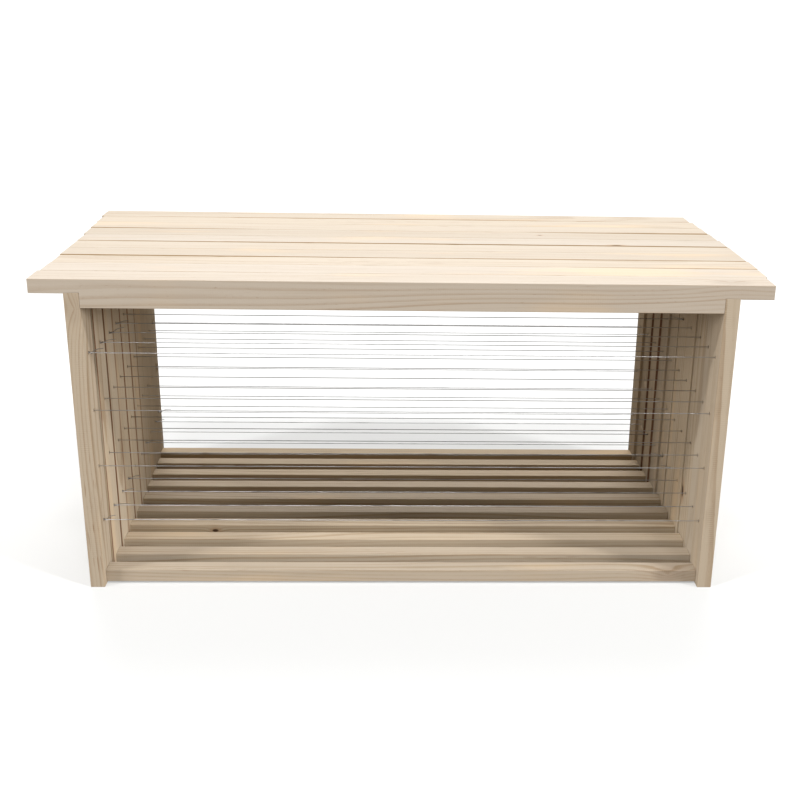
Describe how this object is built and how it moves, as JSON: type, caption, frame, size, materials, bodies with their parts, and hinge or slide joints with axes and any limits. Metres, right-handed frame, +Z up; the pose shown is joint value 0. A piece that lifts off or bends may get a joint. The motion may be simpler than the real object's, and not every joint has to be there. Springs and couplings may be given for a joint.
{
  "type": "row of beehive frames",
  "caption": "Row of plain wooden hive frames standing side by side, each with a lugged top bar, two side bars, a bottom bar and laced steel wire; each frame lifts straight out.",
  "frame": {"origin": "centre of the row's box, on the surface that the frames' feet stand on", "axes": "+X along the top bars to the right, +Y from the front frame to the back one, +Z up"},
  "size_m": [0.487, 0.2552, 0.218],
  "materials": {
    "top_bar_wood": "planed, unfinished",
    "side_bar_wood": "sawn and planed, unfinished",
    "bottom_bar_wood": "sawn, unfinished",
    "steel_wire": "drawn, bright",
    "steel_nail": "plain"
  },
  "bodies": {
    "frame_01": {"frame_01_top_bar": "top_bar_wood", "frame_01_left_side_bar": "side_bar_wood", "frame_01_right_side_bar": "side_bar_wood", "frame_01_bottom_bar": "bottom_bar_wood", "frame_01_wire": "steel_wire", "frame_01_nails": "steel_nail"},
    "frame_02": {"frame_02_top_bar": "top_bar_wood", "frame_02_left_side_bar": "side_bar_wood", "frame_02_right_side_bar": "side_bar_wood", "frame_02_bottom_bar": "bottom_bar_wood", "frame_02_wire": "steel_wire", "frame_02_nails": "steel_nail"},
    "frame_03": {"frame_03_top_bar": "top_bar_wood", "frame_03_left_side_bar": "side_bar_wood", "frame_03_right_side_bar": "side_bar_wood", "frame_03_bottom_bar": "bottom_bar_wood", "frame_03_wire": "steel_wire", "frame_03_nails": "steel_nail"},
    "frame_04": {"frame_04_top_bar": "top_bar_wood", "frame_04_left_side_bar": "side_bar_wood", "frame_04_right_side_bar": "side_bar_wood", "frame_04_bottom_bar": "bottom_bar_wood", "frame_04_wire": "steel_wire", "frame_04_nails": "steel_nail"},
    "frame_05": {"frame_05_top_bar": "top_bar_wood", "frame_05_left_side_bar": "side_bar_wood", "frame_05_right_side_bar": "side_bar_wood", "frame_05_bottom_bar": "bottom_bar_wood", "frame_05_wire": "steel_wire", "frame_05_nails": "steel_nail"},
    "frame_06": {"frame_06_top_bar": "top_bar_wood", "frame_06_left_side_bar": "side_bar_wood", "frame_06_right_side_bar": "side_bar_wood", "frame_06_bottom_bar": "bottom_bar_wood", "frame_06_wire": "steel_wire", "frame_06_nails": "steel_nail"},
    "frame_07": {"frame_07_top_bar": "top_bar_wood", "frame_07_left_side_bar": "side_bar_wood", "frame_07_right_side_bar": "side_bar_wood", "frame_07_bottom_bar": "bottom_bar_wood", "frame_07_wire": "steel_wire", "frame_07_nails": "steel_nail"},
    "frame_08": {"frame_08_top_bar": "top_bar_wood", "frame_08_left_side_bar": "side_bar_wood", "frame_08_right_side_bar": "side_bar_wood", "frame_08_bottom_bar": "bottom_bar_wood", "frame_08_wire": "steel_wire", "frame_08_nails": "steel_nail"},
    "frame_09": {"frame_09_top_bar": "top_bar_wood", "frame_09_left_side_bar": "side_bar_wood", "frame_09_right_side_bar": "side_bar_wood", "frame_09_bottom_bar": "bottom_bar_wood", "frame_09_wire": "steel_wire", "frame_09_nails": "steel_nail"},
    "frame_10": {"frame_10_top_bar": "top_bar_wood", "frame_10_left_side_bar": "side_bar_wood", "frame_10_right_side_bar": "side_bar_wood", "frame_10_bottom_bar": "bottom_bar_wood", "frame_10_wire": "steel_wire", "frame_10_nails": "steel_nail"}
  },
  "joints": [
    {"name": "frame_02_lift", "type": "slide", "parent": "frame_01", "child": "frame_02", "axis": [0, 0, 1], "range_m": [0, 0.24]},
    {"name": "frame_03_lift", "type": "slide", "parent": "frame_01", "child": "frame_03", "axis": [0, 0, 1], "range_m": [0, 0.24]},
    {"name": "frame_04_lift", "type": "slide", "parent": "frame_01", "child": "frame_04", "axis": [0, 0, 1], "range_m": [0, 0.24]},
    {"name": "frame_05_lift", "type": "slide", "parent": "frame_01", "child": "frame_05", "axis": [0, 0, 1], "range_m": [0, 0.24]},
    {"name": "frame_06_lift", "type": "slide", "parent": "frame_01", "child": "frame_06", "axis": [0, 0, 1], "range_m": [0, 0.24]},
    {"name": "frame_07_lift", "type": "slide", "parent": "frame_01", "child": "frame_07", "axis": [0, 0, 1], "range_m": [0, 0.24]},
    {"name": "frame_08_lift", "type": "slide", "parent": "frame_01", "child": "frame_08", "axis": [0, 0, 1], "range_m": [0, 0.24]},
    {"name": "frame_09_lift", "type": "slide", "parent": "frame_01", "child": "frame_09", "axis": [0, 0, 1], "range_m": [0, 0.24]},
    {"name": "frame_10_lift", "type": "slide", "parent": "frame_01", "child": "frame_10", "axis": [0, 0, 1], "range_m": [0, 0.24]}
  ]
}
